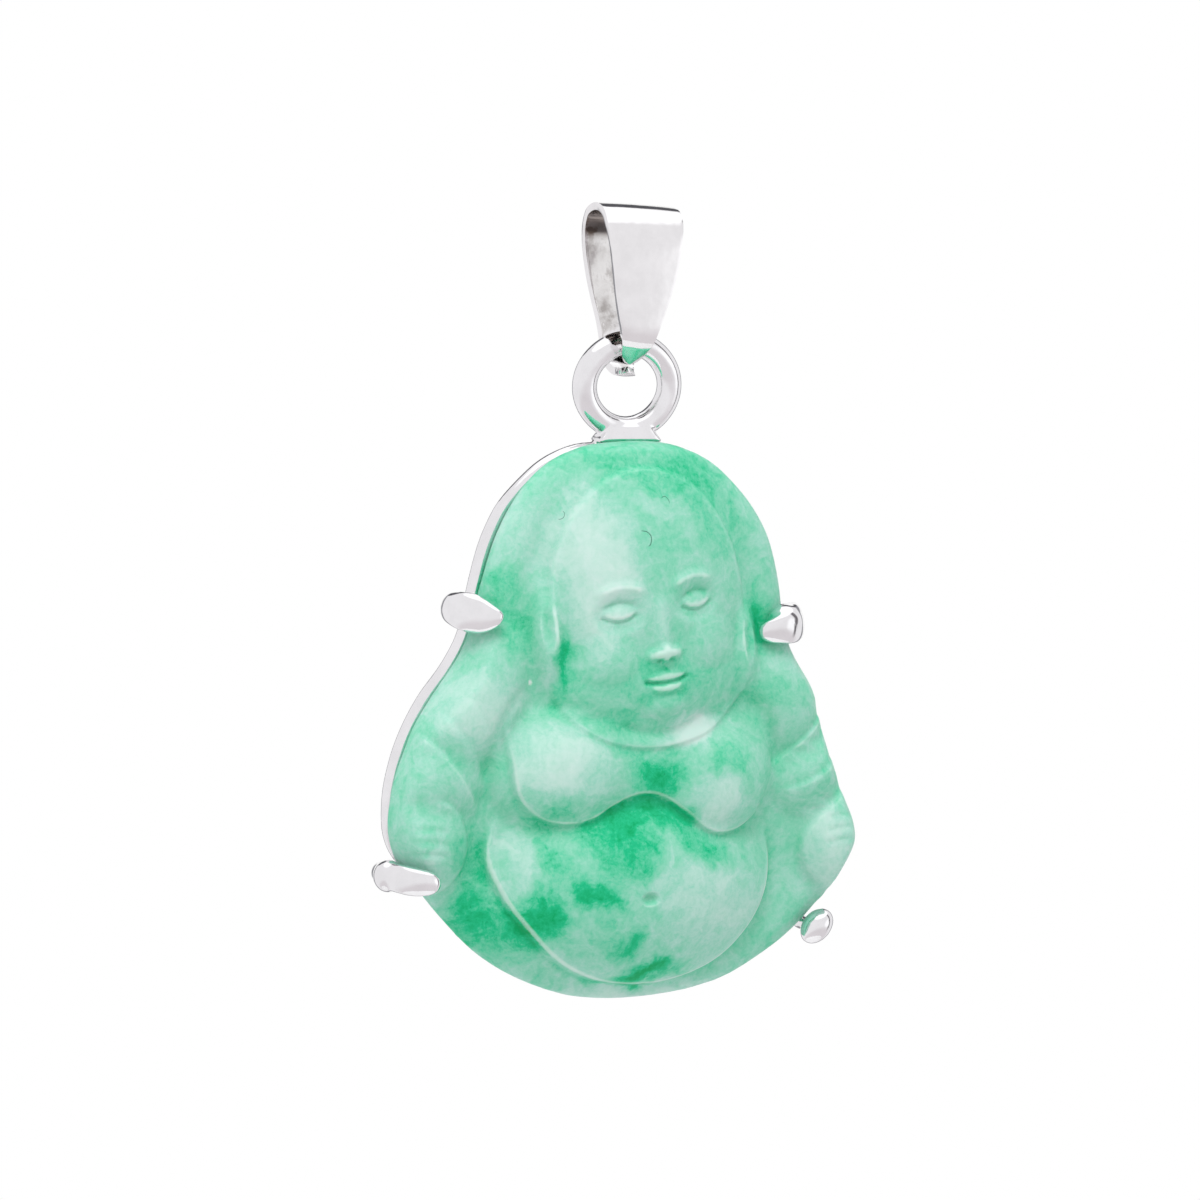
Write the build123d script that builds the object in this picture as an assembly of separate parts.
from build123d import *
import math
import os

# A carved jade figure held by four claws on a wire frame, hanging from a folded strap bail.
# Lengths are millimetres. +X is to the right of someone facing the figure, +Y is behind it and +Z is up.
# The origin is where a chain lies in the bail, at the top of the channel.

# Stone
jade_width = 26.0
jade_height = 28.3
relief_depth = 3.7
rim_depth = 1.05
rim_width = 1.5
crown = 0.45
edge_round_depth = 3.9
edge_round_width = 4.2
back_depth = 0.6
back_bevel = 0.35
carving_blend = 0.3

# Setting
frame_wire = 0.9
stone_gap = 0.05
ring_half_width = 2.34
ring_half_height = 2.15
ring_end_radius = 1.9
ring_wire = 1.28
ring_dip = 0.17
saddle_width = 3.9
saddle_height = 1.55
saddle_neck = 2.3
saddle_thickness = 0.8
claw_width = 1.75
claw_thickness = 0.9
claw_gap = 0.07
claw_feel = 0.15

# The lower right claw is a rounded knob on a neck of wire
knob_drop = 0.870
knob_slant = -42
knob_length = 2.10
knob_width = 1.50
knob_reach = 0.36
knob_rise = 1.30
neck_wire = 0.8
neck_reach = 0.62
neck_bend = 0.5

# Bail
bail_width = 4.3
bail_reach = 6.55
bail_top_radius = 1.84
bail_strap = 0.42
bail_seat_radius = 1.04
bail_lean = 0.05
bail_foot_strap = 0.54

# Weights in grams per cubic centimetre, which set the angle that the pendant hangs at
stone_density = 3.3
metal_density = 10.3

# Faceting of the stone
grid_rows = 64
grid_columns = 58
rim_loops = (0.3, 0.06)
rim_band = 0.75
spine_reach = 0.8

# The stone's outline from the crown of the arch down: the drop is a share of the height, left and right
# are shares of half the width. The crown and the foot are single points.
outline_columns = ("drop", "left", "right")
outline_rows = (
    (0.000, 0.000, 0.000),
    (0.008, -0.212, 0.165),
    (0.035, -0.358, 0.311),
    (0.072, -0.450, 0.415),
    (0.118, -0.521, 0.507),
    (0.174, -0.579, 0.580),
    (0.245, -0.625, 0.626),
    (0.302, -0.657, 0.646),
    (0.345, -0.678, 0.652),
    (0.387, -0.724, 0.695),
    (0.444, -0.812, 0.777),
    (0.500, -0.888, 0.812),
    (0.543, -0.924, 0.845),
    (0.586, -0.957, 0.884),
    (0.642, -0.979, 0.934),
    (0.681, -0.981, 0.975),
    (0.720, -0.960, 0.992),
    (0.752, -0.917, 0.970),
    (0.795, -0.840, 0.917),
    (0.848, -0.738, 0.843),
    (0.901, -0.618, 0.722),
    (0.943, -0.480, 0.582),
    (0.975, -0.322, 0.440),
    (0.993, -0.180, 0.262),
    (1.000, 0.020, 0.020),
)

# The carved forms. Across and wide are shares of half the width, drop and tall are shares of the height,
# turn is degrees anticlockwise, top and edge are shares of the relief depth, and power sets how flat the
# crown of the form is.
form_columns = ("name", "across", "drop", "wide", "tall", "turn", "top", "edge", "power")
forms = (
    ("head", 0.012, 0.284, 0.410, 0.246, 7, 0.92, 0.47, 2.3),
    ("jowls", 0.038, 0.401, 0.405, 0.128, 4, 0.90, 0.51, 2.3),
    ("left_ear", -0.385, 0.338, 0.075, 0.110, 5, 0.63, 0.44, 2.0),
    ("right_ear", 0.428, 0.370, 0.068, 0.104, 5, 0.60, 0.42, 2.0),
    ("chest", 0.015, 0.561, 0.560, 0.110, 0, 0.78, 0.49, 2.4),
    ("left_breast", -0.285, 0.575, 0.270, 0.094, 3, 0.905, 0.62, 2.6),
    ("right_breast", 0.300, 0.596, 0.238, 0.0975, -3, 0.89, 0.61, 2.6),
    ("belly", -0.008, 0.784, 0.596, 0.186, 0, 1.00, 0.39, 2.4),
    ("left_arm", -0.670, 0.458, 0.177, 0.142, -27, 0.675, 0.405, 2.2),
    ("right_arm", 0.623, 0.455, 0.150, 0.122, 22, 0.675, 0.405, 2.2),
    ("left_sleeve", -0.790, 0.590, 0.165, 0.080, -35, 0.615, 0.37, 2.2),
    ("right_sleeve", 0.746, 0.600, 0.165, 0.066, 40, 0.615, 0.37, 2.2),
    ("left_knee", -0.838, 0.699, 0.177, 0.094, -10, 0.63, 0.33, 2.2),
    ("right_knee", 0.869, 0.717, 0.162, 0.094, 12, 0.60, 0.33, 2.2),
)

# Three of the claws. Drop is where the claw crosses the outline, as a share of the height, side is -1 on the
# left, slant is degrees that its length turns from level, wide, out and inward are its width and its reaches
# outside and inside the outline as shares of the claws' width, and turn_depth is where it starts to turn in,
# as a share of its thickness.
claw_columns = ("name", "drop", "side", "slant", "wide", "out", "inward", "turn_depth")
claws = (
    ("upper_left", 0.300, -1, 12, 1.14, 0.65, 0.48, 0.85),
    ("upper_right", 0.326, 1, 10, 1.08, 0.42, 1.08, 0.80),
    ("lower_left", 0.762, -1, 5, 0.84, 0.72, 0.44, 1.20),
)

# Where a claw lies on the stone: the share of its inward reach, and its width and thickness there.
claw_rests = (
    (0.28, 0.98, 0.92),
    (0.84, 0.66, 0.66),
    (1.08, 0.26, 0.26),
)

# Levels where the wire frame turns, as shares of the stone's height, and how far inside the outline it runs.
frame_turns = (
    (0.008, 0.41),
    (0.035, 0.43),
    (0.080, 0.42),
    (0.120, 0.23),
    (0.180, 0.20),
    (0.260, 0.29),
    (0.345, 0.45),
    (0.400, 0.41),
    (0.450, 0.29),
    (0.500, 0.36),
    (0.550, 0.34),
    (0.620, 0.43),
    (0.715, 0.43),
    (0.800, 0.80),
    (0.890, 0.80),
    (0.960, 0.80),
    (0.996, 0.80),
)

# The bail's edges from its crown down: the drop is a share of its length, front and back are shares of
# its width. The front leaf ends in a narrow tongue over the foot.
bail_taper = (
    (-0.02, 0.98, 0.98),
    (0.03, 0.98, 0.98),
    (0.10, 0.95, 0.95),
    (0.19, 0.90, 0.90),
    (0.34, 0.83, 0.81),
    (0.52, 0.70, 0.65),
    (0.70, 0.55, 0.46),
    (0.84, 0.41, 0.40),
    (0.93, 0.31, 0.37),
    (0.98, 0.20, 0.35),
    (1.02, 0.14, 0.33),
)

half_width = jade_width / 2
frame_radius = frame_wire / 2
ring_radius = ring_wire / 2
bail_inner_radius = bail_top_radius - bail_strap
pivot_z = -bail_reach
ring_centre_z = pivot_z - ring_half_height
jade_top_z = ring_centre_z - ring_half_height - ring_radius + ring_dip
girdle_y = -(back_depth + stone_gap + frame_radius)


def smooth_curve(points, steps):
    """Points along a closed Catmull-Rom curve through the given ones."""
    curve = []
    count = len(points)
    for i in range(count):
        before, start, end, after = (points[(i + k) % count] for k in (-1, 0, 1, 2))
        for step in range(steps):
            t = step / steps
            curve.append(tuple(
                0.5 * (2 * b + (c - a) * t + (2 * a - 5 * b + 4 * c - d) * t ** 2
                       + (3 * b - a - 3 * c + d) * t ** 3)
                for a, b, c, d in zip(before, start, end, after)))
    return curve


def stone_outline():
    """The outline as x, z points, down the left side and up the right one."""
    rows = [dict(zip(outline_columns, row)) for row in outline_rows]
    down = [(row["left"] * half_width, jade_top_z - row["drop"] * jade_height) for row in rows]
    up = [(row["right"] * half_width, jade_top_z - row["drop"] * jade_height) for row in rows[-2:0:-1]]
    return smooth_curve(down + up, 4)


def outward_directions(points):
    """Outward unit directions at the points of an anticlockwise loop."""
    directions = []
    for i in range(len(points)):
        before = points[i - 1]
        after = points[(i + 1) % len(points)]
        run_x = after[0] - before[0]
        run_z = after[1] - before[1]
        length = math.hypot(run_x, run_z)
        directions.append((run_z / length, -run_x / length))
    return directions


outline = stone_outline()
normals = outward_directions(outline)


def nearest_on_outline(x, z):
    """The nearest point of the outline, the outward direction there and whether x, z lies inside."""
    best = None
    inside = False
    for i, (bx, bz) in enumerate(outline):
        ax, az = outline[i - 1]
        ux = bx - ax
        uz = bz - az
        share = ((x - ax) * ux + (z - az) * uz) / (ux * ux + uz * uz)
        share = min(1.0, max(0.0, share))
        away = math.hypot(x - ax - share * ux, z - az - share * uz)
        if best is None or away < best[0]:
            best = (away, i, share)
        if (az > z) != (bz > z) and x < ax + (z - az) / uz * ux:
            inside = not inside
    away, i, share = best
    ax, az = outline[i - 1]
    bx, bz = outline[i]
    nx = (1 - share) * normals[i - 1][0] + share * normals[i][0]
    nz = (1 - share) * normals[i - 1][1] + share * normals[i][1]
    length = math.hypot(nx, nz)
    return away, (ax + share * (bx - ax), az + share * (bz - az)), (nx / length, nz / length), inside


def edge_distance(x, z):
    """Distance from the outline, positive inside it."""
    away, _, _, inside = nearest_on_outline(x, z)
    return away if inside else -away


def side_crossing(drop, side):
    """Where the outline crosses a level, on the left (-1) or on the right (1)."""
    z = jade_top_z - drop * jade_height
    found = []
    ax, az = outline[-1]
    for bx, bz in outline:
        if (az > z) != (bz > z):
            found.append(ax + (z - az) / (bz - az) * (bx - ax))
        ax, az = bx, bz
    return (min(found), z) if side < 0 else (max(found), z)


def step_in(point, distance):
    """A place inside the outline, towards the middle of the figure."""
    reach = spine_reach * half_width
    spine_z = min(max(point[1], jade_top_z - jade_height + reach), jade_top_z - reach)
    length = math.hypot(point[0], spine_z - point[1])
    return (point[0] * (1 - distance / length),
            point[1] + (spine_z - point[1]) * distance / length)


def inset(point, distance):
    """A place inside the outline, straight in from the outline's nearest point."""
    _, (x, z), (nx, nz), _ = nearest_on_outline(*point)
    return x - nx * distance, z - nz * distance


def quarter_round(distance, width, depth):
    share = min(1.0, max(0.0, distance / width))
    return depth * math.sqrt(1 - (1 - share) ** 2)


def smooth_max(a, b, blend):
    overlap = max(blend - abs(a - b), 0.0) / blend
    return max(a, b) + overlap ** 2 * blend / 4


def front_depth(x, z):
    """How far the carved front stands before the girdle at a place on the figure."""
    distance = edge_distance(x, z)
    if distance <= 0:
        return 0.0
    drop = (jade_top_z - z) / jade_height
    middle = 1 - (x / half_width) ** 2 - (2 * drop - 1) ** 2
    depth = quarter_round(distance, rim_width, rim_depth) + crown * max(0.0, middle)
    for row in forms:
        form = dict(zip(form_columns, row))
        along = x - form["across"] * half_width
        up = z - (jade_top_z - form["drop"] * jade_height)
        turn = math.radians(form["turn"])
        u = (along * math.cos(turn) + up * math.sin(turn)) / (form["wide"] * half_width)
        v = (up * math.cos(turn) - along * math.sin(turn)) / (form["tall"] * jade_height)
        fall = (form["top"] - form["edge"]) * math.hypot(u, v) ** form["power"]
        depth = smooth_max(depth, (form["top"] - fall) * relief_depth, carving_blend)
    round_edge = quarter_round(distance, edge_round_width, edge_round_depth)
    return -smooth_max(-depth, -round_edge, carving_blend * min(1.0, distance))


def along_outline(start, end, count, over_top):
    """Evenly spaced points of the outline from one side to the other, over its crown or its foot."""
    crown_x, crown_z = outline[0]
    middle = (crown_x, crown_z) if over_top else min(outline, key=lambda point: point[1])
    between = [point for point in outline
               if (point[1] > max(start[1], end[1]) if over_top else point[1] < min(start[1], end[1]))]
    left = sorted((point for point in between if point[0] < middle[0]), key=lambda point: point[0])
    right = sorted((point for point in between if point[0] > middle[0]), key=lambda point: point[0])
    chain = [start, *left, middle, *right, end]
    lengths = [math.dist(p, q) for p, q in zip(chain, chain[1:])]
    made = []
    for j in range(count + 1):
        rest = j / count * sum(lengths)
        k = 0
        while k < len(lengths) - 1 and rest > lengths[k]:
            rest -= lengths[k]
            k += 1
        share = min(1.0, rest / lengths[k])
        made.append((chain[k][0] + share * (chain[k + 1][0] - chain[k][0]),
                     chain[k][1] + share * (chain[k + 1][1] - chain[k][1])))
    return made


def girdle_rows():
    """Rows of outline points: the first runs over the crown, the last under the foot, others are pairs."""
    pairs = []
    for i in range(1, grid_rows):
        even = i / grid_rows
        drop = 0.7 * even + 0.3 * (1 - math.cos(math.pi * even)) / 2
        pairs.append((side_crossing(drop, -1), side_crossing(drop, 1)))
    crown_row = along_outline(*pairs[0], grid_columns, True)
    foot_row = along_outline(*pairs[-1], grid_columns, False)
    return crown_row, pairs[1:-1], foot_row


def facets_between(first, second):
    """Triangles that join two closed loops with as many points."""
    made = []
    for i in range(len(first)):
        k = (i + 1) % len(first)
        made.append((first[i], first[k], second[k]))
        made.append((first[i], second[k], second[i]))
    return made


def jade_figure():
    """The stone in facets: a grid over its front, loops round its rim and a flat back."""
    def front(place):
        return Vector(place[0], girdle_y - front_depth(*place), place[1])

    crown_row, pairs, foot_row = girdle_rows()
    rows = [[step_in(point, rim_band) for point in crown_row]]
    for pair in pairs:
        left, right = (step_in(point, rim_band) for point in pair)
        rows.append([(left[0] + j / grid_columns * (right[0] - left[0]),
                      left[1] + j / grid_columns * (right[1] - left[1])) for j in range(grid_columns + 1)])
    rows.append([step_in(point, rim_band) for point in foot_row])

    grid = [[front(place) for place in row] for row in rows]
    triangles = []
    for upper, lower in zip(grid, grid[1:]):
        for j in range(grid_columns):
            triangles.append((upper[j], upper[j + 1], lower[j + 1]))
            triangles.append((upper[j], lower[j + 1], lower[j]))

    lefts = [left for left, right in pairs]
    rights = [right for left, right in pairs]
    girdle_points = lefts + foot_row + rights[::-1] + crown_row[::-1]
    inner = [row[0] for row in grid[1:-1]] + grid[-1] + [row[-1] for row in grid[-2:0:-1]] + grid[0][::-1]
    loops = [inner]
    for distance in rim_loops:
        loops.append([front(step_in(point, distance)) for point in girdle_points])
    loops.append([Vector(x, girdle_y, z) for x, z in girdle_points])
    back = [step_in(point, back_bevel) for point in girdle_points]
    loops.append([Vector(x, girdle_y + back_depth, z) for x, z in back])
    for first, second in zip(loops, loops[1:]):
        triangles += facets_between(first, second)

    faces = [Face(Wire.make_polygon(corners, close=True)) for corners in triangles]
    faces.append(Face(Wire.make_polygon(loops[-1], close=True)))
    return Solid(Shell(faces))


def loop_path(points):
    """A closed wire of straight runs joined by tangent arcs, in the plane of the ring."""
    corners = [Vector(x, 0, z) for x, z in points]
    radii = []
    for i, corner in enumerate(corners):
        into = corner - corners[i - 1]
        out = corners[(i + 1) % len(corners)] - corner
        turn = math.radians(into.get_angle(out))
        radii.append(0.45 * min(into.length, out.length) / math.tan(turn / 2))
    return FilletPolyline(*corners, radius=radii, close=True)


def round_wire(path, radius):
    section = Plane(origin=path @ 0, z_dir=path % 0) * Circle(radius)
    return sweep(section, path=path)


def frame_place(drop, side):
    """Where the wire frame runs at a level, between its turns."""
    for (above, start), (below, end) in zip(frame_turns, frame_turns[1:]):
        if drop <= below:
            share = (drop - above) / (below - above)
            return inset(side_crossing(drop, side), start + share * (end - start))


def frame_corners():
    left = [frame_place(drop, -1) for drop, reach in frame_turns]
    right = [frame_place(drop, 1) for drop, reach in frame_turns]
    return left + right[::-1]


def ring_path():
    """An oval of four tangent arcs round the ring's middle."""
    end_x = ring_half_width - ring_end_radius
    spare = ring_half_height - ring_end_radius
    flat_z = (end_x ** 2 - spare ** 2) / (2 * spare)
    meet = math.atan2(flat_z, end_x)
    meet_x = end_x + ring_end_radius * math.cos(meet)
    meet_z = ring_end_radius * math.sin(meet)

    def at(x, z):
        return Vector(x, 0, ring_centre_z + z)

    top = ThreePointArc(at(meet_x, meet_z), at(0, ring_half_height), at(-meet_x, meet_z))
    left = ThreePointArc(at(-meet_x, meet_z), at(-ring_half_width, 0), at(-meet_x, -meet_z))
    foot = ThreePointArc(at(-meet_x, -meet_z), at(0, -ring_half_height), at(meet_x, -meet_z))
    right = ThreePointArc(at(meet_x, -meet_z), at(ring_half_width, 0), at(meet_x, meet_z))
    return Wire([top, left, foot, right])


def saddle():
    """The solder that flares from the ring's foot onto the arch."""
    foot_z = frame_corners()[0][1]
    neck_z = foot_z + saddle_height
    half_foot = saddle_width / 2
    half_neck = saddle_neck / 2
    bulge_x = half_neck + 0.3 * (half_foot - half_neck)
    bulge_z = foot_z + 0.35 * saddle_height
    left = ThreePointArc((-half_foot, foot_z), (-bulge_x, bulge_z), (-half_neck, neck_z))
    right = ThreePointArc((half_neck, neck_z), (bulge_x, bulge_z), (half_foot, foot_z))
    outline_wire = Wire([left, Line((-half_neck, neck_z), (half_neck, neck_z)), right,
                         Line((half_foot, foot_z), (-half_foot, foot_z))])
    return extrude(Plane.XZ * Face(outline_wire), saddle_thickness / 2, both=True)


def claw(row):
    """A finger that leaves the frame behind the stone, rounds its edge and lies on its front."""
    spec = dict(zip(claw_columns, row))
    full_width = spec["wide"] * claw_width
    anchor = side_crossing(spec["drop"], spec["side"])
    slant = math.radians(spec["slant"])
    out_x = spec["side"] * math.cos(slant)
    out_z = math.sin(slant)
    across = Vector(-out_z, 0, out_x)
    root = frame_place(spec["drop"], spec["side"])
    root_reach = (root[0] - anchor[0]) * out_x + (root[1] - anchor[1]) * out_z
    out_reach = spec["out"] * claw_width

    def surface(reach):
        """The stone's highest depth under the claw's width, at a reach along its length."""
        x = anchor[0] + reach * out_x
        z = anchor[1] + reach * out_z
        return max(front_depth(x + k * full_width * across.X, z + k * full_width * across.Z)
                   for k in (-0.42, 0, 0.42))

    def resting(share, thick):
        """The middle of the claw where it lies on the stone, as a reach and a depth."""
        reach = -share * spec["inward"] * claw_width
        rise = surface(reach - claw_feel) - surface(reach + claw_feel)
        length = math.hypot(rise, 2 * claw_feel)
        lift = thick * claw_thickness / 2 + claw_gap
        return reach + lift * rise / length, surface(reach) + lift * 2 * claw_feel / length

    behind = -(back_depth + stone_gap + frame_radius)
    stations = [
        (root_reach, behind, 0.50, 0.80),
        (0.72 * out_reach, 0.88 * behind, 0.62, 0.85),
        (out_reach, 0.10 * claw_thickness, 0.85, 0.95),
        (0.80 * out_reach, spec["turn_depth"] * claw_thickness, 1.00, 1.00),
    ]
    for share, wide, thick in claw_rests:
        stations.append((*resting(share, thick), wide, thick))
    centres = [Vector(anchor[0] + reach * out_x, girdle_y - depth, anchor[1] + reach * out_z)
               for reach, depth, _, _ in stations]
    sections = []
    for i, (_, _, wide, thick) in enumerate(stations):
        ahead = centres[min(i + 1, len(centres) - 1)]
        behind = centres[max(i - 1, 0)]
        plane = Plane(origin=centres[i], x_dir=across, z_dir=(ahead - behind).normalized())
        sections.append(plane * Ellipse(wide * full_width / 2, thick * claw_thickness / 2))
    return loft(sections)


def knob_claw():
    """The lower right claw: a neck of wire from the frame round the stone's edge, and a knob on its end."""
    anchor = side_crossing(knob_drop, 1)
    root = frame_place(knob_drop, 1)
    slant = math.radians(knob_slant)

    def at(reach, depth):
        return Vector(anchor[0] + reach * math.cos(slant), girdle_y - depth, anchor[1] + reach * math.sin(slant))

    middle = at(knob_reach, knob_rise)
    bends = (at(neck_reach, girdle_y), at(neck_reach, knob_rise / 3))
    neck = round_wire(FilletPolyline(Vector(root[0], 0, root[1]), *bends, middle, radius=neck_bend), neck_wire / 2)
    along = Plane(origin=middle, x_dir=(-math.sin(slant), 0, math.cos(slant)), z_dir=(0, -1, 0))
    knob = scale(Sphere(1), by=(knob_length / 2, knob_width / 2, knob_width / 2))
    return neck + along * knob


def setting():
    body = round_wire(loop_path(frame_corners()), frame_radius)
    body = body + round_wire(ring_path(), ring_radius) + saddle()
    for row in claws:
        body = body + claw(row)
    return body + knob_claw()


def belt(top_radius, foot_radius, top_z, top_y):
    """Two circles in the Y, Z plane joined by their outer tangents."""
    lean = math.atan2(top_y, top_z - pivot_z)
    apart = math.hypot(top_y, top_z - pivot_z)
    open_angle = math.asin((top_radius - foot_radius) / apart)

    def on(centre_y, centre_z, radius, angle):
        return centre_y + radius * math.sin(angle + lean), centre_z + radius * math.cos(angle + lean)

    quarter = math.pi / 2
    top_front = on(top_y, top_z, top_radius, -quarter - open_angle)
    top = on(top_y, top_z, top_radius, 0)
    top_back = on(top_y, top_z, top_radius, quarter + open_angle)
    foot_front = on(0, pivot_z, foot_radius, -quarter - open_angle)
    foot = on(0, pivot_z, foot_radius, math.pi)
    foot_back = on(0, pivot_z, foot_radius, quarter + open_angle)
    edge = Wire([ThreePointArc(top_front, top, top_back), Line(top_back, foot_back),
                 ThreePointArc(foot_back, foot, foot_front), Line(foot_front, top_front)])
    return Face(edge)


def leaf(strap, taper, side):
    """Half of the strap, in front of the seat (-1) or behind it (1), cut to its taper."""
    edge = [(share * bail_width / 2, z) for share, z in taper]
    shape = Polyline(*edge, *[(-x, z) for x, z in edge[::-1]], close=True)
    block = extrude(Plane.XZ * Face(Wire(shape)), -side * 3 * bail_top_radius)
    return strap & block


def bail():
    top_z = -bail_inner_radius
    loop = belt(bail_top_radius, bail_seat_radius + bail_foot_strap, top_z, -bail_lean)
    hollow = belt(bail_inner_radius, bail_seat_radius, top_z, -bail_lean)
    strap = extrude(Plane.YZ * (loop - hollow), bail_width, both=True)
    crown_z = top_z + bail_top_radius
    length = crown_z - (pivot_z - bail_seat_radius - bail_foot_strap)
    front_taper = [(front, crown_z - drop * length) for drop, front, back in bail_taper]
    back_taper = [(back, crown_z - drop * length) for drop, front, back in bail_taper]
    return leaf(strap, front_taper, -1) + leaf(strap, back_taper, 1)


def hang_tilt(pieces):
    """The angle about X that brings the weight of the pieces under the ring's wire."""
    weight = sum(piece.volume * density for piece, density in pieces)
    y = sum(piece.center(CenterOf.MASS).Y * piece.volume * density for piece, density in pieces) / weight
    z = sum(piece.center(CenterOf.MASS).Z * piece.volume * density for piece, density in pieces) / weight
    return math.degrees(math.atan(y / (z - pivot_z)))


stone = jade_figure()
metal = setting()
tilt = hang_tilt(((stone, stone_density), (metal, metal_density)))
swing = Axis((0, 0, pivot_z), (1, 0, 0))
os.makedirs("parts", exist_ok=True)
export_step(stone.rotate(swing, tilt), "parts/jade_figure.step")
export_step(metal.rotate(swing, tilt), "parts/setting.step")
export_step(bail(), "parts/bail.step")
print(f"hangs at {tilt:.3f} degrees about X, pivot at Z {pivot_z:.3f}")
print(f"stone {stone.volume:.1f} and setting {metal.volume:.1f} cubic millimetres")
